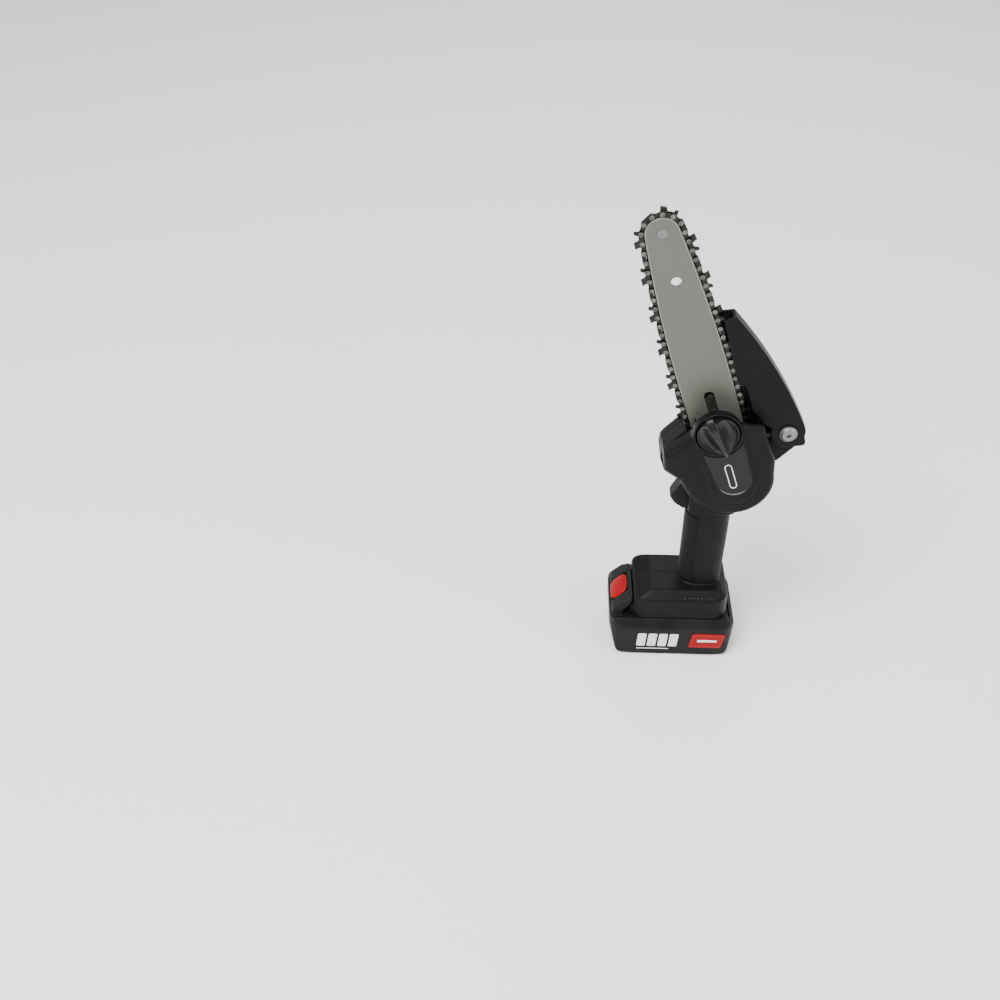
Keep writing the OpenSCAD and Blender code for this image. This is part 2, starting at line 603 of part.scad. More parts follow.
module motor_can() {
    color([0.6, 0.6, 0.6]) {
        difference() {
            pin(motor, 18, motor_y[0], motor_y[1] - 6);
            pin(motor, 16.4, motor_y[0] + 1.6, motor_y[1]);
            pin(motor, 3, 0, 20);
        }
        tube(motor, 6, 2, 1.2, motor_y[0] + 0.1);
        for (s = [-1, 1]) difference() {
            tube(motor, 16.35, 12.3, 11, 29);
            translate([motor[0] - 30, 0, motor[1] - 9]) cube([60, 60, 18]);
            translate([motor[0] - 30, 0, motor[1] + (s < 0 ? 0 : -40)]) cube([60, 60, 40]);
        }
    }
}
module motor_brush_cap() {
    color([0.9, 0.88, 0.8]) difference() {
        pin(motor, 18, motor_y[1] - 5.9, motor_y[1]);
        pin(motor, 15, motor_y[1] - 7, motor_y[1] - 2.4);
        pin(motor, 2, 0, 60);
    }
}
module motor_fan() {
    color([0.15, 0.15, 0.15]) {
        tube(motor, 16, 1.62, 39, 40.2);
        tube(motor, 3.5, 1.62, 40.1, 45);
        for (k = [0:8]) translate([motor[0], 0, motor[1]]) rotate([0, 40 * k, 0])
            translate([3.3, 40.1, -0.5]) cube([12.4, 4.4, 1]);
    }
}
module gear_plate() {
    color([0.65, 0.66, 0.67]) difference() {
        pin(barrel, 32.8, gear_plate_y[0], gear_plate_y[1]);
        pin(sprocket, 8 + run_fit, gear_plate_y[0] - 1, gear_plate_y[1] - 0.8);
        pin(motor, 6 + run_fit, -1, 8);
        for (p = plate_screws) pin(p, screw_r + run_fit, -1, 8);
        for (p = shell_screws) pin(p, 4, -1, 8);
        pin(lock_at, lock_r + 1, -1, 8);
    }
}
module gear_plate_screws() {
    color("silver") for (p = plate_screws) {
        pin(p, screw_r, -11, gear_plate_y[1]);
        difference() {
            pin(p, 2.8, gear_plate_y[1], gear_plate_y[1] + 2);
            pin(p, 1.2, gear_plate_y[1] + 0.8, 20, $fn = 6);
        }
    }
}

// ---- chip guard ----
guard_y0 = bar_y - guard_w / 2;
guard_y1 = bar_y + guard_w / 2;
guard_hub_r = 14.5;
guard_tip = [19.5, 371];
guard_back_r = 420;       // radius of the guard's long outer curve
// Points of the outer curve, from the tip down to where it runs onto the hub.
function guard_back(inset = 0, n = 16) = let (
    q = pivot + (guard_hub_r - inset) * turn(18), p = guard_tip + inset * turn(200),
    m = (p + q) / 2, d = norm(q - p) / 2,
    c = m - unit([-(q - p)[1], (q - p)[0]]) * sqrt(pow(guard_back_r, 2) - d * d),
    a = atan2(p[1] - c[1], p[0] - c[0]), b = atan2(q[1] - c[1], q[0] - c[0]))
    [for (k = [0:n]) c + guard_back_r * turn(a + (b - a) * k / n)];
function guard_hub(from, to, inset = 0, n = 14) =
    [for (k = [0:n]) pivot + (guard_hub_r - inset) * turn(from + (to - from) * k / n)];
// Hub outline with the squared lower rear corner of the guard's two walls.
function guard_corner() = concat(guard_hub(0, -12, 0, 2), [[91.2, 251], [90.5, 248.6], [88.5, 247.6]],
    guard_hub(-78, -195));
near_edge = [[54, 269], [44, 281], [36, 304], [27.5, 311], [24.5, 321], [11, 366.5]];
far_edge = [[50, 269], [40, 277], [31, 296], [20, 322], [5.5, 369]];
module guard() {
    color([0.13, 0.13, 0.14]) difference() {
        union() {
            slab(guard_y0, guard_y0 + guard_wall) polygon(concat(guard_back(), guard_corner(), near_edge));
            slab(guard_y1 - guard_wall, guard_y1) polygon(concat(guard_back(), guard_corner(), far_edge));
            slab(guard_y0, guard_y1) polygon(concat(guard_back(), guard_hub(14, -4, 0, 3),
                guard_hub(-4, 14, 2.2, 3),
                [for (k = [16:-1:0]) guard_back(2.4)[k]]));
        }
        pin(pivot, 3 + run_fit, -60, 0);
    }
}
module guard_bolt() {
    color("silver") {
        pin(pivot, 3, guard_y0 - 0.2, -7.5);
        difference() {
            translate([pivot[0], guard_y0 - 0.2, pivot[1]]) rotate([90, 0, 0]) {
                cylinder(r = 7.3, h = 1.8);
                translate([0, 0, 1.7]) cylinder(r1 = 7.3, r2 = 5, h = 1.9);
            }
            pin(pivot, 2.3, -40, guard_y0 - 2, $fn = 6);
        }
    }
}
module guard_nut() {
    color("silver") difference() {
        pin(pivot, 5.6, guard_y1 + 0.25, guard_y1 + 5, $fn = 6);
        pin(pivot, 3 + run_fit, -30, 0);
    }
}
module guard_spring() {
    color("gray") translate([pivot[0], bar_y - 0.2, pivot[1]]) rotate([90, 0, 0]) coil(5.2, 1.1, 3.9, 3);
}

// ---- controls ----
module trigger() {
    color([0.14, 0.14, 0.14]) {
        intersection() {
            slab(-trigger_half, trigger_half) polygon(fillet([[-5.5, 186.5, 2], [-13.6, 172, 2.5],
                [-8.5, 165, 5],
                [-1, trigger_z[0], 2], [13, trigger_z[0], 1], [13, trigger_z[1], 1], [-4, trigger_z[1], 1]]));
            translate([0, 0, 150]) linear_extrude(60)
                polygon(fillet([[-15, -trigger_half, 6], [20, -trigger_half, 0], [20, trigger_half, 0],
                    [-15, trigger_half, 6]]));
        }
        slab(-2, 2) polygon([[12.5, 163], [14.5, 163], [14.5, 168], [12.5, 168]]);
    }
}
module trigger_spring() { color("silver") translate([13.2, 0, 184]) rotate([0, 90, 0]) coil(3, 0.7, 9, 6); }
module switch_box() {
    color([0.15, 0.15, 0.16]) {
        translate([22.5, -8, 160]) cube([15, 16, 30]);
        translate([20.6, -2, 163]) cube([2.2, 4, 5]);
    }
}
module lock_button() {
    color([0.6, 0.06, 0.06]) { pin(lock_at, lock_r, 8, 20); }
}
module lock_spring() {
    color("silver") translate([lock_at[0], 2, lock_at[1]]) rotate([-90, 0, 0]) coil(3.4, 0.6, 5.9, 4);
}
module control_board() {
    color([0.05, 0.3, 0.12]) {
        translate([15, -10, 92]) cube([1.6, 20, 52]);
        translate([16.6, -6, 100]) cube([8, 12, 10]);
        translate([16.6, -6, 118]) cube([3, 12, 12]);
    }
}
wire_r = 1.1;
module wire_run(p, q) {
    d = q - p;
    translate(p) rotate([0, acos(d[2] / norm(d)), atan2(d[1],
        d[0])]) cylinder(r = wire_r, h = norm(d), $fn = 16);
}
module wiring() {
    color([0.7, 0.05, 0.05]) for (s = [-1, 1]) {
        wire_run([28.5, 6 * s, 68.8], [28.5, 6 * s, 159.8]);
    }
}
module terminal_block() {
    color([0.1, 0.1, 0.1]) translate([-2, -14, tower_top + 1.5]) cube([32, 28, 10]);
}
blade_y = [-10, -3.5, 3.5, 10];
module terminal_blades() {
    color("goldenrod") for (y = blade_y) translate([12, y - 0.4, 50]) cube([15, 0.8, 8.4]);
}

// ---- battery pack ----
pack_screws = [for (x = [-50.5, 50.5], y = [-28.5, 28.5]) [x, y]];
post_r = 3.3;             // posts that take those screws
head_z = 7;               // underside of their sunk heads
tub_wall = 2.2;
cell_r = 9.15;
cell_gap = [18.7, 18.6];      // spacing of the cells along and up the pack
cell_z = 13;              // height of the lower row's centre line
cells = [for (row = [0:1], k = [0:cell_columns - 1]) 
    [(k - (cell_columns - 1) / 2) * cell_gap[0], cell_z + row * cell_gap[1]]];
pack_nose = 3.5;          // how much further the rim stands out at the latch end
function tub_side(l, h) = fillet([[-l / 2 + 4.6, 0, 9], [l / 2 - 4.6, 0, 9], [l / 2, 34, 2], [l / 2, h, 0],
    [-l / 2 - pack_nose, h, 0], [-l / 2 - pack_nose, 34, 2]]);
function tub_end(w, h) = fillet([[-w / 2 + 2.3, 0, 3], [w / 2 - 2.3, 0, 3], [w / 2, 34, 2], [w / 2, h, 0],
    [-w / 2, h, 0], [-w / 2, 34, 2]]);
module pack_plan(h, inset = 0) {
    translate([-pack_nose / 2, 0, 0]) linear_extrude(h)
        polygon(box2(pack_l + pack_nose - 2 * inset, pack_w - 2 * inset, 13 - inset));
}
module tub_form(inset = 0) {
    intersection() {
        slab(-50, 50) polygon(tub_side(pack_l - 2 * inset, tub_h));
        rib(-70, 70) polygon(tub_end(pack_w - 2 * inset, tub_h));
        pack_plan(tub_h, inset);
    }
}
module battery_tub() {
    color([0.14, 0.14, 0.135]) difference() {
        union() {
            difference() { tub_form(); translate([0, 0, 2.6]) tub_form(tub_wall); }
            intersection() {
                tub_form();
                for (p = pack_screws) translate([p[0], p[1], 0]) cylinder(r = post_r, h = tub_h - 0.2);
            }
        }
        for (p = pack_screws) translate([p[0], p[1], -through]) {
            cylinder(r = screw_r + run_fit, h = 60);
            cylinder(r = 2.6, h = head_z + 3);
        }
    }
}
slope_turn = 45;
module on_slope() { translate([-52, 0, 55.5]) rotate([0, -slope_turn, 0]) children(); }
module battery_lid() {
    color([0.13, 0.13, 0.13]) difference() {
        union() {
            intersection() {
                rib(-pack_l, pack_l) polygon([[-pack_w / 2, tub_h], [pack_w / 2, tub_h],
                    [pack_w / 2 - 5, 45], [-pack_w / 2 + 5, 45]]);
                slab(-40, 40) polygon([[-pack_l / 2 - pack_nose, tub_h], [pack_l / 2, tub_h],
                    [pack_l / 2 - 8, 45], [-pack_l / 2 - pack_nose, 45]]);
                translate([0, 0, tub_h]) pack_plan(8);
            }
            translate([-48.5, -tower_w / 2, 44]) cube([tower_back + 48.5, tower_w, tower_top - 44]);
            translate([nose_x - 2, -tower_w / 2 - rail_out, rail_z])
                cube([tower_back - nose_x + 2, tower_w + 2 * rail_out, tower_top - rail_z]);
            intersection() {
                slab(-28, 28) polygon(fillet([[-pack_l / 2 - pack_nose, 44, 0],
                    [-pack_l / 2 - pack_nose, 47, 2], [-43, 64.5, 2],
                    [nose_x, 64.5, 0], [nose_x, 60.8, 0], [-48, 49.9, 0], [-48.8, 44, 0]]));
                rib(-62, -30) polygon(fillet([[-28, 44, 0], [-28, 58, 4], [-22, 65, 4], [22, 65, 4],
                    [28, 58, 4], [28, 44, 0]]));
                translate([0, 0, 40]) pack_plan(40, 2);
            }
        }
        translate([0, 0, tub_h - through]) linear_extrude(43.2 - tub_h + through) difference() {
            polygon(box2(pack_l - 9, pack_w - 10, 9));
            for (p = pack_screws) translate(p) circle(post_r);
        }
        translate([-33, -tower_w / 2 + 2, 42]) cube([70, tower_w - 4, tower_top - 2.5 - 42]);
        for (y = blade_y) translate([11, y - 1.3, 49]) cube([40, 2.6, 20]);
        on_slope() {
            translate([-10.7, -12.9, -4.6]) cube([21.4, 25.8, 20]);
            translate([-5.4, -9.4, -10.6]) cube([10.8, 18.8, 20]);
        }
        for (p = pack_screws) translate([p[0], p[1], 30]) cylinder(r = screw_r + run_fit, h = 13);
    }
}
module battery_cells() {
    color([0.1, 0.35, 0.6]) for (p = cells) {
        pin(p, cell_r, -32.2, 31.2);
        pin(p, 3.2, 31.2, 32.3);
    }
}
module cell_holders() {
    color([0.75, 0.75, 0.72]) for (y = [-24, 20]) difference() {
        slab(y, y + 4) polygon(fillet([[-45.5, 2.8, 3], [45.5, 2.8, 3], [48.8, 12, 4], [48.8, 40.6, 3],
            [-48.8, 40.6, 3], [-48.8, 12, 4]]));
        for (p = cells) pin(p, cell_r + 0.05, -50, 50);
    }
}
module cell_straps() {
    color("silver") for (y = [-32.6, 32.35], k = [0:cell_columns - 1])
        translate([(k - (cell_columns - 1) / 2) * cell_gap[0] - 4, y, 6]) cube([8, 0.2, 31]);
}
module battery_board() {
    color([0.05, 0.3, 0.12]) {
        translate([-40, -22, 41]) cube([84, 44, 1.6]);
        translate([-20, -12, 42.6]) cube([18, 24, 4]);
    }
}
module battery_contacts() {
    color("goldenrod") for (y = blade_y, s = [-1, 1])
        translate([12, y + s * 0.75 - 0.2, 42.7]) cube([14, 0.4, 13]);
}
module battery_screws() {
    color("silver") for (p = pack_screws) translate([p[0], p[1], 0]) {
        translate([0, 0, head_z + 2]) cylinder(r = screw_r, h = 32.5);
        translate([0, 0, head_z]) difference() {
            cylinder(r = 2.4, h = 2);
            translate([0, 0, -through]) cylinder(r = 1.3, h = 1.3, $fn = 6);
        }
    }
}
module latch_button() {
    color([0.75, 0.06, 0.08]) on_slope() {
        translate([-10.3, -12.5, -1]) linear_extrude(2.2) translate([10.3, 12.5]) polygon(box2(20.6, 25,
            2.5));
        translate([0, 0, 1.1]) linear_extrude(0.7) polygon(box2(18.2, 22.6, 2));
        translate([-5, -9, -6.2]) cube([10, 18, 5.4]);
    }
}
module latch_spring() { color("silver") on_slope() translate([0, 0, -10.4]) coil(4, 0.7, 4, 3); }
tub_lean = [2.3, 34];     // the tub's long sides stand out this much over this height
sticker = [-0.6, -0.05];  // front and back of the plates stuck on its side
module on_tub_side() {
    translate([0, -pack_w / 2 + tub_lean[0], 0]) rotate([atan(tub_lean[0] / tub_lean[1]), 0, 0]) children();
}
module pack_plate() {
    color([0.75, 0.06, 0.08]) on_tub_side() slab(sticker[0], sticker[1])
        polygon(fillet([[15, 12, 2], [46, 12, 2], [49, 31, 2], [18, 31, 2]]));
}
module pack_bars() {
    color("white") on_tub_side() for (k = [0:3]) slab(sticker[0], sticker[1])
        polygon(fillet([[-34 + 10 * k, 13, 1], [-26 + 10 * k, 13, 1], [-25 + 10 * k, 30, 1],
            [-33 + 10 * k, 30, 1]]));
}

housing_near();
housing_far();
grip_overmold();
side_cover();
cover_badge();
wing_knob();
knob_nut();
bar_stud();
bar_pad();
guide_bar();
nose_sprocket();
nose_rivet();
tension_screw();
tension_block();
drive_sprocket();
sprocket_shaft();
shaft_circlip();
bearing_near();
bearing_far();
drive_gear();
motor_pinion();
motor_rotor();
motor_can();
motor_brush_cap();
motor_fan();
gear_plate();
gear_plate_screws();
guard();
guard_bolt();
guard_nut();
guard_spring();
trigger();
trigger_spring();
switch_box();
lock_button();
lock_spring();
control_board();
wiring();
terminal_block();
terminal_blades();
housing_screws();
battery_tub();
battery_lid();
battery_cells();
cell_holders();
cell_straps();
battery_board();
battery_contacts();
battery_screws();
latch_button();
latch_spring();
pack_plate();
pack_bars();
chain_drive_links();
chain_tie_straps();
chain_cutters();
chain_rivets();
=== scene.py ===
import json
import math

import bmesh
import bpy
from mathutils import Matrix, Vector


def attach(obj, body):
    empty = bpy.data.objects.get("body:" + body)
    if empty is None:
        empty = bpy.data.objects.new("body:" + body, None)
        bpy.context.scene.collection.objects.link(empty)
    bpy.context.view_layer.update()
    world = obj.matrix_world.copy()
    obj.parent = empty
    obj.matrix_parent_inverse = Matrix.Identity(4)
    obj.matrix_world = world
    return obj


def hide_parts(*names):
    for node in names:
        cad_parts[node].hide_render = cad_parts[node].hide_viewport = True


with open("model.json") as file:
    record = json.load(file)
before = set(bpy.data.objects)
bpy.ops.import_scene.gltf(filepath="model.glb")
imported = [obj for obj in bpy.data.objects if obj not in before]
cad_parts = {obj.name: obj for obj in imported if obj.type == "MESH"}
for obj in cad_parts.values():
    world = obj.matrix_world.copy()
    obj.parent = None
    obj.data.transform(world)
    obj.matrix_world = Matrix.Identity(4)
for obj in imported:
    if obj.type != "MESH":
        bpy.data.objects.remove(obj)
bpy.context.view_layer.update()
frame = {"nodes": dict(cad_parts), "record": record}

NODES = frame["nodes"]
BODY = {n: b for b, ns in frame["record"]["behaviour"]["bodies"].items() for n in ns}
SLOT = {s["node"]: s["material_slot"] for s in frame["record"]["subparts"]}
MM = 0.001

# Positions of the frame that the looks are built on, in the same terms as the CAD part.
LEAN = math.radians(19)
STUD = Vector((15, 0, 270))
ALONG = Vector((-math.sin(LEAN), 0, math.cos(LEAN)))
BAR_Y = -22.0
BAR_FACE = 1.66          # a hair past half the bar's thickness, where its polished rims lie
BADGE_Y = (-47.3, -46.95)  # front and back of the marks on the cover's inset plate
PACK_MARK_Y = (-0.8, -0.55)  # front and back of the marks on the pack's red plate


# ------------------------------------------------------------------ materials
class Nodes:
    """A small helper that adds shader nodes and joins them."""

    def __init__(self, name):
        self.m = bpy.data.materials.new(name)
        self.m.use_nodes = True
        self.t = self.m.node_tree
        self.bsdf = self.t.nodes["Principled BSDF"]
        self.coord = self.t.nodes.new("ShaderNodeTexCoord").outputs["Object"]

    def link(self, a, b):
        self.t.links.new(a, b)

    def stretch(self, scale, turn=0.0):
        n = self.t.nodes.new("ShaderNodeMapping")
        n.inputs["Scale"].default_value = scale
        n.inputs["Rotation"].default_value = (0, turn, 0)
        self.link(self.coord, n.inputs["Vector"])
        return n.outputs["Vector"]

    def noise(self, scale, detail=3.0, rough=0.55, vector=None):
        n = self.t.nodes.new("ShaderNodeTexNoise")
        n.inputs["Scale"].default_value = scale
        n.inputs["Detail"].default_value = detail
        n.inputs["Roughness"].default_value = rough
        self.link(vector or self.coord, n.inputs["Vector"])
        return n.outputs["Fac"]

    def cells(self, scale):
        n = self.t.nodes.new("ShaderNodeTexVoronoi")
        n.inputs["Scale"].default_value = scale
        self.link(self.coord, n.inputs["Vector"])
        return n.outputs["Distance"]

    def ramp(self, value, a, b, lo=0.0, hi=1.0):
        n = self.t.nodes.new("ShaderNodeMapRange")
        for k, v in (("From Min", a), ("From Max", b), ("To Min", lo), ("To Max", hi)):
            n.inputs[k].default_value = v
        self.link(value, n.inputs["Value"])
        return n.outputs["Result"]

    def mix(self, factor, a, b):
        n = self.t.nodes.new("ShaderNodeMix")
        n.data_type = "RGBA"
        self.link(factor, n.inputs["Factor"])
        for k, v in (("A", a), ("B", b)):
            socket = [s for s in n.inputs if s.name == k and s.type == "RGBA"][0]
            if isinstance(v, (tuple, list)):
                socket.default_value = (*v, 1)
            else:
                self.link(v, socket)
        return [s for s in n.outputs if s.type == "RGBA"][0]

    def math(self, op, a, b):
        n = self.t.nodes.new("ShaderNodeMath")
        n.operation = op
        for k, v in enumerate((a, b)):
            if isinstance(v, (int, float)):
                n.inputs[k].default_value = v
            else:
                self.link(v, n.inputs[k])
        return n.outputs[0]

    def edges(self, lo, hi):
        g = self.t.nodes.new("ShaderNodeNewGeometry").outputs["Pointiness"]
        return self.ramp(g, lo, hi)

    def bump(self, height, depth, under=None, strength=1.0):
        n = self.t.nodes.new("ShaderNodeBump")
        n.inputs["Strength"].default_value = strength
        n.inputs["Distance"].default_value = depth
        self.link(height, n.inputs["Height"])
        if under is not None:
            self.link(under, n.inputs["Normal"])
        return n.outputs["Normal"]


def plastic(name, base, rough=0.5, grain=0.00004, wear_and_highlight=0.02, coat=0.0, mottle=0.3, shine=0.1):
    """Moulded plastic: fine spark-eroded texture, faint flow marks, and edges lighter, partly from rubbed
    wear and partly as a painted highlight.
    """
    n = Nodes(name)
    b = n.bsdf
    big = n.noise(28, 4)
    fine = n.noise(1300, 2, 0.7)
    pits = n.cells(1040)
    dark = tuple(c * (1 - mottle) for c in base)
    light = tuple(min(1, c * (1 + mottle)) for c in base)
    col = n.mix(n.ramp(big, 0.35, 0.65), dark, light)
    # Pointiness lightens the edges: partly rubbed wear, partly a painted highlight along them.
    rub_and_highlight = n.math("MULTIPLY", n.edges(0.52, 0.6), n.ramp(n.noise(160, 4), 0.35, 0.7))
    col = n.mix(rub_and_highlight, col, tuple(min(1, c + wear_and_highlight) for c in base))
    n.link(col, b.inputs["Base Color"])
    r = n.math("ADD", n.ramp(fine, 0.3, 0.7, rough - 0.06, rough + 0.06), n.ramp(big, 0.3, 0.7, -0.05, 0.05))
    n.link(r, b.inputs["Roughness"])
    h = n.math("ADD", fine, n.math("MULTIPLY", pits, 0.5))
    first = n.bump(n.noise(55, 2), 0.0002, strength=0.35)
    n.link(n.bump(h, grain, first), b.inputs["Normal"])
    b.inputs["Specular IOR Level"].default_value = shine
    if coat:
        b.inputs["Coat Weight"].default_value = coat
        b.inputs["Coat Roughness"].default_value = 0.12
    return n.m


def metal(name, base, rough=0.3, metallic=1.0, lines=None, turn=0.0, stain=0.25, dirt=None,
          depth=0.00002, patchy=45):
    """Metal with either drawn lines along one way or fine random scratches, and uneven polish."""
    n = Nodes(name)
    b = n.bsdf
    if lines:
        streak = n.noise(1.0, 5, 0.65, n.stretch(lines, turn))
    else:
        streak = n.noise(900, 4, 0.7)
    patch = n.noise(patchy, 4)
    dark = tuple(c * (1 - stain) for c in base)
    light = tuple(min(1, c * (1 + stain * 0.6)) for c in base)
    col = n.mix(n.ramp(patch, 0.3, 0.7), dark, light)
    if dirt:
        grime = n.math("MULTIPLY", n.ramp(n.noise(220, 5, 0.7), 0.5, 0.72), 0.85)
        col = n.mix(grime, col, dirt)
    n.link(col, b.inputs["Base Color"])
    uneven = n.ramp(patch, 0.3, 0.7, -0.04, 0.05)
    r = n.math("ADD", n.ramp(streak, 0.3, 0.7, rough - 0.07, rough + 0.07), uneven)
    n.link(r, b.inputs["Roughness"])
    n.link(n.bump(streak, depth), b.inputs["Normal"])
    b.inputs["Metallic"].default_value = metallic
    return n.m


def rubber(name, base):
    n = Nodes(name)
    b = n.bsdf
    fine = n.noise(1800, 3, 0.7)
    dust = n.noise(60, 5, 0.6)
    n.link(n.mix(n.ramp(dust, 0.4, 0.75), base, tuple(c * 1.9 for c in base)), b.inputs["Base Color"])
    n.link(n.ramp(dust, 0.3, 0.7, 0.62, 0.8), b.inputs["Roughness"])
    n.link(n.bump(fine, 0.00005), b.inputs["Normal"])
    b.inputs["Sheen Weight"].default_value = 0.02
    b.inputs["Specular IOR Level"].default_value = 0.12
    return n.m


MAT = {
    "shell": plastic("moulded_black", (0.0042, 0.0042, 0.0047), 0.42, wear_and_highlight=0.014),
    "grip_rubber": rubber("grip_rubber", (0.0026, 0.0026, 0.0029)),
    "pack_shell": plastic("pack_charcoal", (0.0072, 0.0081, 0.0071), 0.42, wear_and_highlight=0.014),
    "badge": metal("inset_gunmetal", (0.0085, 0.0084, 0.007), 0.4, 0.6, stain=0.2, depth=0.00001),
    "knob": plastic("knob_black", (0.0036, 0.0036, 0.0041), 0.28, wear_and_highlight=0.014, grain=0.00002, shine=0.3),
    "brass": metal("machined_brass", (0.62, 0.42, 0.16), 0.28),
    "bright_steel": metal("bright_steel", (0.72, 0.72, 0.71), 0.24, stain=0.12),
    "pad_steel": metal("dark_speckled_steel", (0.03, 0.03, 0.027), 0.5, 0.8,
                       dirt=(0.12, 0.12, 0.11), depth=0.00006),
    "bar_steel": metal("satin_bar_steel", (0.108, 0.112, 0.093), 0.44, 0.5,
                       lines=(2600, 900, 22), turn=-LEAN, stain=0.07, depth=0.000012, patchy=14),
    "chain_steel": metal("oiled_chain_steel", (0.03, 0.0295, 0.026), 0.3, 0.95,
                         dirt=(0.006, 0.005, 0.004), stain=0.4, depth=0.00003, patchy=120),
    "rivet_steel": metal("rivet_steel", (0.13, 0.13, 0.12), 0.27, 0.95,
                         dirt=(0.012, 0.01, 0.008), stain=0.5, patchy=260),
    "bolt_steel": metal("bolt_steel", (0.2, 0.2, 0.2), 0.42, 0.9, stain=0.15, patchy=200),
    # rim_steel is lighter than bar_steel, partly for the rails' polish and partly as a painted highlight
    # along the bar's edge.
    "rim_steel": metal("rim_steel", (0.3, 0.31, 0.26), 0.35, 0.7, stain=0.1),
    "border_red": plastic("border_red", (0.42, 0.03, 0.035), 0.35, wear_and_highlight=0.0, mottle=0.05, grain=0.00001),
    "gear_steel": metal("gear_steel", (0.45, 0.45, 0.46), 0.3),
    "rotor": metal("varnished_winding", (0.45, 0.2, 0.08), 0.3, 0.8),
    "pale_plastic": plastic("pale_plastic", (0.6, 0.58, 0.5), 0.5, mottle=0.05),
    "dark_plastic": plastic("dark_plastic", (0.02, 0.02, 0.022), 0.45),
    "cast_plate": metal("cast_plate", (0.55, 0.55, 0.56), 0.45, depth=0.00005),
    "spring_steel": metal("spring_steel", (0.5, 0.5, 0.5), 0.25),
    "red_button": plastic("red_button", (0.25, 0.0012, 0.0035), 0.36, wear_and_highlight=0.02, mottle=0.1),
    "board": plastic("board_green", (0.01, 0.12, 0.04), 0.25, mottle=0.1, coat=0.5),
    "wire": rubber("wire_red", (0.35, 0.01, 0.01)),
    "cell": metal("cell_sleeve", (0.04, 0.15, 0.35), 0.35, 0.2),
    "plate_red": plastic("plate_red", (0.24, 0.0014, 0.004), 0.34, wear_and_highlight=0.02, mottle=0.08, grain=0.00001),
    "plate_white": plastic("print_white", (0.72, 0.72, 0.7), 0.4, wear_and_highlight=0.0, mottle=0.04, grain=0.00001),
}


LOOK = {"chain_rivets": "rivet_steel", "guard_bolt": "bolt_steel", "nose_rivet": "bolt_steel"}


def dress(obj, slot):
    obj.data.materials.clear()
    obj.data.materials.append(MAT[slot])


# ------------------------------------------------------------------ making pieces
def new_object(name, mesh):
    o = bpy.data.objects.new(name, mesh)
    bpy.context.scene.collection.objects.link(o)
    return o


def settle(obj):
    """Applies the object's modifiers into its mesh."""
    bpy.context.view_layer.update()
    deps = bpy.context.evaluated_depsgraph_get()
    mesh = bpy.data.meshes.new_from_object(obj.evaluated_get(deps))
    old = obj.data
    obj.modifiers.clear()
    obj.data = mesh
    bpy.data.meshes.remove(old)
    return obj


def place(obj, body, slot, *replaced, look=None):
    dress(obj, look or slot)
    for p in obj.data.polygons:
        p.use_smooth = True
    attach(obj, body)
    if replaced:
        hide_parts(*replaced)
    return obj


def moulded(node, name, voxel, rounds, keep, soft=None, soft_rounds=90):
    """A moulded piece: the CAD solid with its edges rounded as a mould rounds them."""
    mesh = NODES[node].data.copy()
    bm = bmesh.new()
    bm.from_mesh(mesh)
    bmesh.ops.remove_doubles(bm, verts=bm.verts, dist=2e-6)
    bm.to_mesh(mesh)
    bm.free()
    o = new_object(name, mesh)
    m = o.modifiers.new("voxel", "REMESH")
    m.mode = "VOXEL"
    m.voxel_size = voxel * MM
    m.use_smooth_shade = True
    settle(o)
    if soft:
        g = o.vertex_groups.new(name="soft")
        for v in o.data.vertices:
            weight = soft(v.co / MM)
            if weight > 0:
                g.add([v.index], weight, "REPLACE")
        m = o.modifiers.new("soft", "SMOOTH")
        m.factor = 0.5
        m.iterations = soft_rounds
        m.vertex_group = "soft"
        settle(o)
    m = o.modifiers.new("round", "SMOOTH")
    m.factor = 0.5
    m.iterations = rounds
    settle(o)
    if keep < 1:
        m = o.modifiers.new("thin", "DECIMATE")
        m.ratio = keep
        settle(o)
    return place(o, BODY[node], SLOT[node], node)


def bevelled(node, width, angle=30, segments=2):
    """A CAD node that stays as it is, with its sharp edges broken."""
    o = NODES[node]
    w = o.modifiers.new("weld", "WELD")
    w.merge_threshold = 2e-6
    b = o.modifiers.new("edge", "BEVEL")
    b.width = width * MM
    b.segments = segments
    b.limit_method = "ANGLE"
    b.angle_limit = math.radians(angle)
    b.use_clamp_overlap = True
    b.harden_normals = False
    dress(o, LOOK.get(node, SLOT[node]))


# Plain CAD nodes keep their shape; those listed in BEVELS get broken edges.
BEVELS = {
    "guide_bar": 0.45, "bar_pad": 0.25, "bar_stud": 0.3, "tension_screw": 0.25, "tension_block": 0.2,
    "chain_drive_links": 0.12, "chain_tie_straps": 0.2, "chain_cutters": 0.16, "chain_rivets": 0.18,
    "drive_sprocket": 0.25, "nose_sprocket": 0.1, "guard_bolt": 0.3, "guard_nut": 0.4, "housing_screws": 0.25,
    "battery_screws": 0.2, "gear_plate_screws": 0.2, "sprocket_shaft": 0.2, "cover_badge": 0.2,
    "pack_plate": 0.15, "pack_bars": 0.12, "terminal_blades": 0.1, "knob_nut": 0.2,
}
for node, obj in NODES.items():
    if node in BEVELS:
        bevelled(node, BEVELS[node])
    else:
        dress(obj, LOOK.get(node, SLOT[node]))

# Moulded pieces.
moulded("side_cover", "cover_moulding", 0.5, 8, 0.35)
moulded("guard", "guard_moulding", 0.45, 6, 0.3)


def foot_soft(p):
    """How far a point, in mm, lies in the foot's latch end, which is moulded softer than the rest."""
    return max(0.0, min(1.0, (80 - p.z) / 6, (p.z - 52) / 6, (-24 - p.x) / 8, (abs(p.y) - 1.5) / 4))


def lid_soft(p):
    """How far a point, in mm, lies on the nose's outer corners, clear of the button's pocket."""
    return max(0.0, min(1.0, (-44 - p.x) / 5, (p.z - 44) / 5, (abs(p.y) - 16.5) / 4))


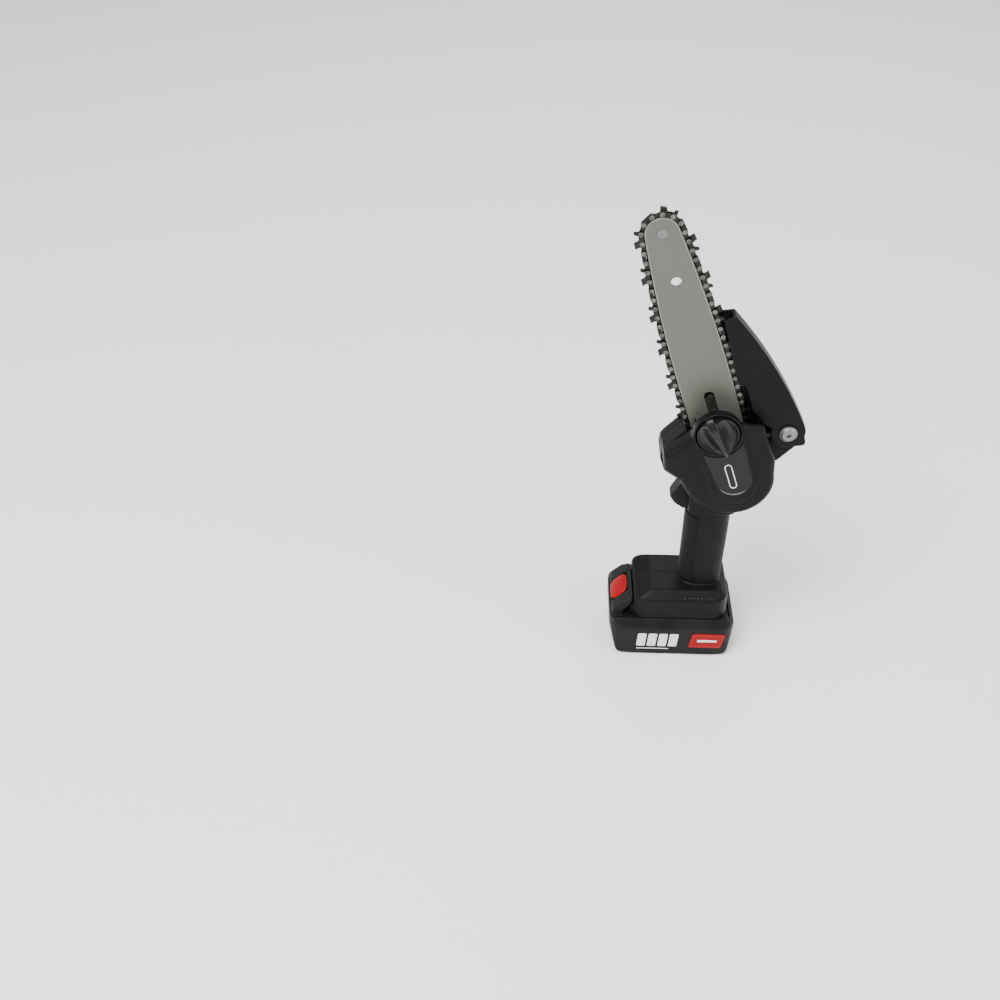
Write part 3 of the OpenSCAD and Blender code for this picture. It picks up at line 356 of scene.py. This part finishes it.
def tub_soft(p):
    """How far a point, in mm, lies on the tub's four upright corners, clear of the screw recesses."""
    screw = math.hypot(abs(p.x) - 50.5, abs(p.y) - 28.5)
    return max(0.0, min(1.0, (abs(p.x) - 38) / 6, (abs(p.y) - 24) / 5, (34 - p.z) / 5, (screw - 3.6) / 2))


moulded("housing_near", "shell_near", 0.65, 7, 0.3, foot_soft)
moulded("housing_far", "shell_far", 0.65, 7, 0.3, foot_soft)
moulded("battery_tub", "pack_tub", 0.65, 7, 0.25, tub_soft, 80)
moulded("battery_lid", "pack_lid", 0.55, 6, 0.3, lid_soft, 40)
moulded("trigger", "trigger_moulding", 0.35, 7, 0.4)
moulded("lock_button", "lock_moulding", 0.25, 6, 0.5)


# ------------------------------------------------------------------ knob
KNOB_Y = -39.9
FIN = math.radians(118)
FIN_U = Vector((math.cos(FIN), math.sin(FIN)))
FIN_W = Vector((-FIN_U.y, FIN_U.x))


def knob_height(x, z):
    """How far the knob's face stands out at a point of its disc: a tapering fin with a bowl on each side."""
    p = Vector((x, z))
    u, w = p.dot(FIN_U), abs(p.dot(FIN_W))
    r = p.length
    bowl = 8.6 - 4.0 * max(0.0, 1 - (r / 16.2) ** 2) ** 0.6
    if r > 16.2:
        bowl = 8.6 - min(8.0, (max(0.0, r - 16.4)) * 2.2) ** 1.5 * 0.6
    crest = 17.9 - 5.6 * max(0.0, (abs(u) - 9) / 12.5) ** 2
    half = 0.6 + 3.2 * max(0.0, min(1.0, (u + 21) / 40)) ** 1.4
    t = max(0.0, min(1.0, (w - half) / (9.5 if abs(u) < 9 else 9.5 - 0.3 * (abs(u) - 9))))
    return bowl + (crest - bowl) * (1 - t) ** 1.7


def knob_reach(a):
    """Outline radius at an angle: the round knob, drawn out where the fin overhangs it."""
    d = Vector((math.cos(a), math.sin(a)))
    u, w = abs(d.dot(FIN_U)), abs(d.dot(FIN_W))
    half = 3.4 if d.dot(FIN_U) > 0 else 1.6
    over = min(21.2 / max(u, 1e-6), half / max(w, 1e-6) * 1.0)
    return max(17.5, min(21.2, over))


def build_knob():
    steps, rings = 144, 40
    bm = bmesh.new()
    angles = [2 * math.pi * k / steps for k in range(steps)]

    def vert(r, a, h):
        x, z = STUD.x + r * math.cos(a), STUD.z + r * math.sin(a)
        return bm.verts.new((x * MM, (KNOB_Y - h) * MM, z * MM))

    def face_vert(r, a):
        return vert(r, a, knob_height(r * math.cos(a), r * math.sin(a)))

    top = [vert(0, 0, knob_height(0, 0))]
    rows = []
    for k in range(1, rings + 1):
        f = (k / rings) ** 0.9
        rows.append([face_vert(knob_reach(a) * f, a) for a in angles])
    low = [8.2 if knob_reach(a) > 17.6 else 5.0 for a in angles]
    rows.append([vert(min(knob_reach(a), 17.55 if h < 6 else 21.0), a, h) for a, h in zip(angles, low)])
    rows.append([vert(17.5, a, h - 0.6) for a, h in zip(angles, low)])
    rows.append([vert(17.5, a, 1.6) for a in angles])
    rows.append([vert(15.8, a, 0.0) for a in angles])

    def hexagon(a):
        return 7.55 * math.cos(math.pi / 6) / math.cos((a % (math.pi / 3)) - math.pi / 6)

    rows.append([vert(hexagon(a), a, 0.0) for a in angles])
    rows.append([vert(hexagon(a), a, 7.4) for a in angles])
    end = vert(0, 0, 7.4)
    for k in range(steps):
        bm.faces.new((top[0], rows[0][k], rows[0][(k + 1) % steps]))
        bm.faces.new((rows[-1][(k + 1) % steps], rows[-1][k], end))
    for a, b in zip(rows, rows[1:]):
        for k in range(steps):
            j = (k + 1) % steps
            bm.faces.new((a[k], b[k], b[j], a[j]))
    bmesh.ops.recalc_face_normals(bm, faces=bm.faces)
    mesh = bpy.data.meshes.new("knob_moulding")
    bm.to_mesh(mesh)
    bm.free()
    o = new_object("knob_moulding", mesh)
    m = o.modifiers.new("round", "SMOOTH")
    m.factor = 0.4
    m.iterations = 2
    settle(o)
    place(o, BODY["wing_knob"], SLOT["wing_knob"], "wing_knob")


build_knob()


# ------------------------------------------------------------------ latch button
SLOPE_AT = Vector((-52, 0, 55.5))
SLOPE_X = Vector((math.cos(math.pi / 4), 0, math.sin(math.pi / 4)))
SLOPE_N = Vector((-math.sin(math.pi / 4), 0, math.cos(math.pi / 4)))


def build_latch():
    """A domed, round-cornered button with a short stem behind it."""
    steps, rings = 96, 14
    bm = bmesh.new()

    def point(x, y, h):
        return bm.verts.new((SLOPE_AT + SLOPE_X * x + Vector((0, y, 0)) + SLOPE_N * h) * MM)

    def outline(a, ax, ay, power=3.4):
        c, q = math.cos(a), math.sin(a)
        f = (abs(c) ** power + abs(q) ** power) ** (-1 / power)
        return ax * f * c, ay * f * q

    angles = [2 * math.pi * k / steps for k in range(steps)]
    rows = []
    for k in range(1, rings + 1):
        f = k / rings
        h = 1.75 - 1.0 * f ** 2.4 - (0.9 * ((f - 0.86) / 0.14) ** 2 if f > 0.86 else 0)
        rows.append([point(*(f * v for v in outline(a, 10.2, 12.4)), h) for a in angles])
    rows.append([point(*outline(a, 10.25, 12.45), -0.9) for a in angles])
    rows.append([point(*outline(a, 4.9, 8.9, 8), -1.0) for a in angles])
    rows.append([point(*outline(a, 4.9, 8.9, 8), -6.1) for a in angles])
    first, last = point(0, 0, 1.75), point(0, 0, -6.1)
    for k in range(steps):
        j = (k + 1) % steps
        bm.faces.new((first, rows[0][k], rows[0][j]))
        bm.faces.new((rows[-1][j], rows[-1][k], last))
        for a, b in zip(rows, rows[1:]):
            bm.faces.new((a[k], b[k], b[j], a[j]))
    bmesh.ops.recalc_face_normals(bm, faces=bm.faces)
    mesh = bpy.data.meshes.new("latch_moulding")
    bm.to_mesh(mesh)
    bm.free()
    place(new_object("latch_moulding", mesh), BODY["latch_button"], SLOT["latch_button"], "latch_button")


build_latch()


# ------------------------------------------------------------------ raised marks and trims
# The ten pieces made from here to chain_web stand for no CAD node. chain_web and rail_shade hide gaps
# that the CAD part leaves, and rail_shade is painted shade there. badge_highlight is a painted highlight,
# rim_near and rim_far are polished edges that also carry a painted highlight, and the others are marks.
def ribbon(name, pts, widths, y_front, y_back, closed, body, slot, look=None):
    """A flat raised line through (x, z) points in mm, facing -Y, with its own width at each point."""
    bm = bmesh.new()
    n = len(pts)
    rows = []
    for k, (x, z) in enumerate(pts):
        q0 = pts[(k - 1) % n] if closed or k else pts[0]
        q1 = pts[(k + 1) % n] if closed or k < n - 1 else pts[-1]
        d = Vector((q1[0] - q0[0], q1[1] - q0[1])).normalized()
        side = Vector((-d.y, d.x)) * widths[k] / 2
        inset = side * 0.72
        rows.append([bm.verts.new(((x + s.x) * MM, y * MM, (z + s.y) * MM)) for s, y in
                     ((side, y_back), (inset, y_front), (-inset, y_front), (-side, y_back))])
    pairs = list(zip(rows, rows[1:])) + ([(rows[-1], rows[0])] if closed else [])
    for a, b in pairs:
        for k in range(4):
            j = (k + 1) % 4
            bm.faces.new((a[k], a[j], b[j], b[k]))
    if not closed:
        bm.faces.new(rows[0])
        bm.faces.new(rows[-1][::-1])
    bmesh.ops.recalc_face_normals(bm, faces=bm.faces)
    mesh = bpy.data.meshes.new(name)
    bm.to_mesh(mesh)
    bm.free()
    return place(new_object(name, mesh), body, slot, look=look)


def stadium(a, b, r, steps=14):
    d = (b - a).normalized()
    turn = math.atan2(d.y, d.x)
    pts = [b + Vector((math.cos(t), math.sin(t))) * r for t in
           (turn - math.pi / 2 + math.pi * k / steps for k in range(steps + 1))]
    pts += [a + Vector((math.cos(t), math.sin(t))) * r for t in
            (turn + math.pi / 2 + math.pi * k / steps for k in range(steps + 1))]
    return [(p.x, p.y) for p in pts]


ring = stadium(Vector((26.6, 237.2)), Vector((33.1, 218.6)), 2.7)
ribbon("badge_ring", ring, [0.85] * len(ring), *BADGE_Y, True, BODY["cover_badge"], "plate_white")
# badge_highlight is a painted highlight: a thin crescent of lighter steel, widest at its middle, along the
# lower end of the cover's tongue where its bevel catches the light.
HIGHLIGHT_R = 14.1
highlight_turns = [math.radians(t) for t in range(-140, -39, 4)]
arc = [(33.5 + HIGHLIGHT_R * math.cos(t), 223 + HIGHLIGHT_R * math.sin(t)) for t in highlight_turns]
ribbon("badge_highlight", arc, [0.15 + 1.1 * math.sin(math.pi * k / (len(arc) - 1)) for k in range(len(arc))],
       -47.35, -46.95, False, BODY["cover_badge"], "badge", "bolt_steel")


def outline_hull(node):
    """The convex outline of a node, seen along Y, in mm."""
    pts = sorted({(round(v.co.x / MM, 3), round(v.co.z / MM, 3)) for v in NODES[node].data.vertices})

    def half(seq):
        out = []
        for q in seq:
            while len(out) > 1 and ((out[-1][0] - out[-2][0]) * (q[1] - out[-2][1])
                                    - (out[-1][1] - out[-2][1]) * (q[0] - out[-2][0])) <= 0:
                out.pop()
            out.append(q)
        return out[:-1]

    return half(pts) + half(pts[::-1])


def bar_edge(out):
    """The bar's outline above the cover, moved outwards by a distance in mm, from one side round the tip."""
    hull = outline_hull("guide_bar")
    n = len(hull)
    pts = []
    for k, (x, z) in enumerate(hull):
        q0, q1 = hull[k - 1], hull[(k + 1) % n]
        d = Vector((q1[0] - q0[0], q1[1] - q0[1])).normalized()
        p = Vector((x, z)) + Vector((d.y, -d.x)) * out
        if (Vector((p.x, 0, p.y)) - STUD).dot(ALONG) > 8:
            pts.append((p.x, p.y))
    gap = max(range(len(pts)), key=lambda k: (Vector(pts[k]) - Vector(pts[k - 1])).length)
    return pts[gap:] + pts[:gap]


# rail_shade is painted shade: a dark strip that closes the see-through gap between the chain's straps and the
# bar's rails, standing for the groove in shade there. It has no CAD body, and it crosses the drive links'
# plates.
# rim_near and rim_far are the rails' polished edges, painted lighter partly as a highlight along the bar's
# edge, and have no CAD body either.
rail = bar_edge(0.35)
ribbon("rail_shade", rail, [1.5] * len(rail), BAR_Y - 0.55, BAR_Y + 0.55, False, BODY["guide_bar"],
       "pad_steel", "grip_rubber")
rim = bar_edge(-0.75)
for name, side in (("rim_near", -1), ("rim_far", 1)):
    ribbon(name, rim, [0.55] * len(rim), BAR_Y + side * BAR_FACE, BAR_Y + side * 1.5, False,
           BODY["guide_bar"], "bar_steel", "rim_steel")


def on_pack_side(obj):
    """Lays a piece made at Y = 0 on the leaning long side of the pack."""
    obj.data.transform(Matrix.Translation((0, -35.2 * MM, 0)) @ Matrix.Rotation(math.atan(2.3 / 34), 4, "X"))


border = [(17.2, 13.6), (44.8, 13.6), (46.9, 29.4), (19.6, 29.4)]
on_pack_side(ribbon("plate_border", border, [0.7] * 4, *PACK_MARK_Y, True, BODY["pack_plate"],
                    "plate_red", "border_red"))
on_pack_side(ribbon("plate_bar", [(23, 21.5), (41.5, 21.5)], [3.2, 3.2], *PACK_MARK_Y, False,
                    BODY["pack_plate"], "plate_white"))
on_pack_side(ribbon("under_line", [(-33.5, 9.0), (-3, 9.0)], [1.0, 1.0], -0.3, 0.1, False,
                    BODY["pack_bars"], "plate_white"))


def build_foot_dashes():
    """A row of small plain dashes raised on the foot's sloping shoulder."""
    bm = bmesh.new()
    slope = Vector((0, 5.1, 5.0)).normalized()
    out = Vector((0, -5.0, 5.1)).normalized()
    for k in range(8):
        c = Vector((8 + 3.9 * k, -29.75, 70.0))
        corner = [c + Vector((sx * 1.35, 0, 0)) + slope * sz * 0.85 + out * so
                  for so in (-0.5, 0.3) for sx, sz in ((-1, -1), (1, -1), (1, 1), (-1, 1))]
        v = [bm.verts.new(q * MM) for q in corner]
        for f in ((0, 1, 2, 3), (4, 5, 6, 7), (0, 1, 5, 4), (1, 2, 6, 5), (2, 3, 7, 6), (3, 0, 4, 7)):
            bm.faces.new([v[i] for i in f])
    bmesh.ops.recalc_face_normals(bm, faces=bm.faces)
    bmesh.ops.bevel(bm, geom=list(bm.edges), offset=0.18 * MM, segments=2, affect="EDGES")
    mesh = bpy.data.meshes.new("foot_dashes")
    bm.to_mesh(mesh)
    bm.free()
    place(new_object("foot_dashes", mesh), BODY["housing_near"], "shell", look="knob")


build_foot_dashes()


def build_shield():
    """Web that closes the gap the CAD part leaves between the side cover and the guard's hub.

    It has no CAD body.
    """
    outline = [(30, 262), (29, 292), (44, 296), (60, 281), (67.5, 270), (67.5, 250), (50, 250)]
    bm = bmesh.new()
    near = [bm.verts.new((x * MM, -15.25 * MM, z * MM)) for x, z in outline]
    far = [bm.verts.new((x * MM, -14.0 * MM, z * MM)) for x, z in outline]
    bm.faces.new(near)
    bm.faces.new(far[::-1])
    for k in range(len(outline)):
        j = (k + 1) % len(outline)
        bm.faces.new((near[k], far[k], far[j], near[j]))
    bmesh.ops.recalc_face_normals(bm, faces=bm.faces)
    bmesh.ops.bevel(bm, geom=list(bm.edges), offset=0.3 * MM, segments=2, affect="EDGES")
    mesh = bpy.data.meshes.new("chain_web")
    bm.to_mesh(mesh)
    bm.free()
    place(new_object("chain_web", mesh), BODY["housing_near"], "shell")


build_shield()


# ------------------------------------------------------------------ camera, floor, light
cam_data = bpy.data.cameras.new("camera")
cam = bpy.data.objects.new("camera", cam_data)
bpy.context.scene.collection.objects.link(cam)
cam_data.sensor_width = 36
cam_data.lens = 36 * 1257.64 / 1000
cam_data.clip_start = 0.01
cam_data.clip_end = 20
pitch, pan = 0.6890039, -0.0351829
look = Vector((math.sin(pan) * math.cos(pitch), math.cos(pan) * math.cos(pitch), -math.sin(pitch)))
cam.location = (-0.133964, -0.876978, 0.881086)
cam.rotation_euler = look.to_track_quat("-Z", "Y").to_euler()
bpy.context.scene.camera = cam

floor_mesh = bpy.data.meshes.new("floor")
floor_mesh.from_pydata([(-6, -6, 0), (6, -6, 0), (6, 6, 0), (-6, 6, 0)], [], [(0, 1, 2, 3)])
floor = new_object("floor", floor_mesh)
pale = Nodes("pale_floor")
pale.link(pale.mix(pale.noise(3, 2), (0.86, 0.86, 0.86), (0.88, 0.88, 0.88)), pale.bsdf.inputs["Base Color"])
pale.bsdf.inputs["Roughness"].default_value = 0.9
floor.data.materials.append(pale.m)


def lamp(name, place_at, aim, size, power, tint=(1, 1, 1)):
    d = bpy.data.lights.new(name, "AREA")
    d.shape = "SQUARE"
    d.size = size
    d.energy = power
    d.color = tint
    o = bpy.data.objects.new(name, d)
    bpy.context.scene.collection.objects.link(o)
    o.location = place_at
    o.rotation_euler = (Vector(aim) - Vector(place_at)).to_track_quat("-Z", "Y").to_euler()


lamp("key", (-0.9, -1.1, 2.2), (0, 0, 0.2), 1.5, 120)
lamp("fill", (1.6, -1.0, 1.2), (0, 0, 0.25), 1.4, 26)
lamp("back", (0.3, 1.6, 1.6), (0, 0, 0.25), 1.5, 14)
world = bpy.data.worlds.new("studio")
world.use_nodes = True
world.node_tree.nodes["Background"].inputs["Color"].default_value = (1, 1, 1, 1)
world.node_tree.nodes["Background"].inputs["Strength"].default_value = 0.8
bpy.context.scene.world = world
